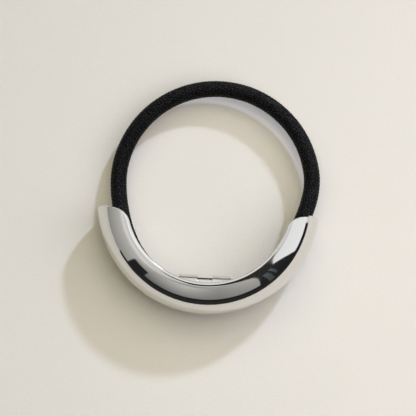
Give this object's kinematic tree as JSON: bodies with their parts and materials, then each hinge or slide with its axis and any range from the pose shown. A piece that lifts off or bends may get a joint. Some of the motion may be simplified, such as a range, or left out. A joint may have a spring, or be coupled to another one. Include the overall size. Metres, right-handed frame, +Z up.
{
  "type": "hair tie with a metal cuff",
  "caption": "Round elastic hair tie that runs through the hollow, open back of a domed, polished metal cuff.",
  "frame": {"origin": "middle of the tie's footprint, on the surface that it lies on", "axes": "+Z up along the axis of the ponytail that the tie would hold; +Y from the cuff across the loop to the far side of the elastic; +X completes the right-handed frame"},
  "size_m": [0.0548, 0.0585, 0.017],
  "materials": {
    "polished_metal": "mirror polished, silver colour",
    "clip_metal": "bright, unpolished sheet metal",
    "elastic_cover": "matt black braided cover with a little fuzz"
  },
  "bodies": {
    "root": {"cuff_shell": "polished_metal", "retaining_clip": "clip_metal", "elastic_loop": "elastic_cover"}
  },
  "joints": []
}
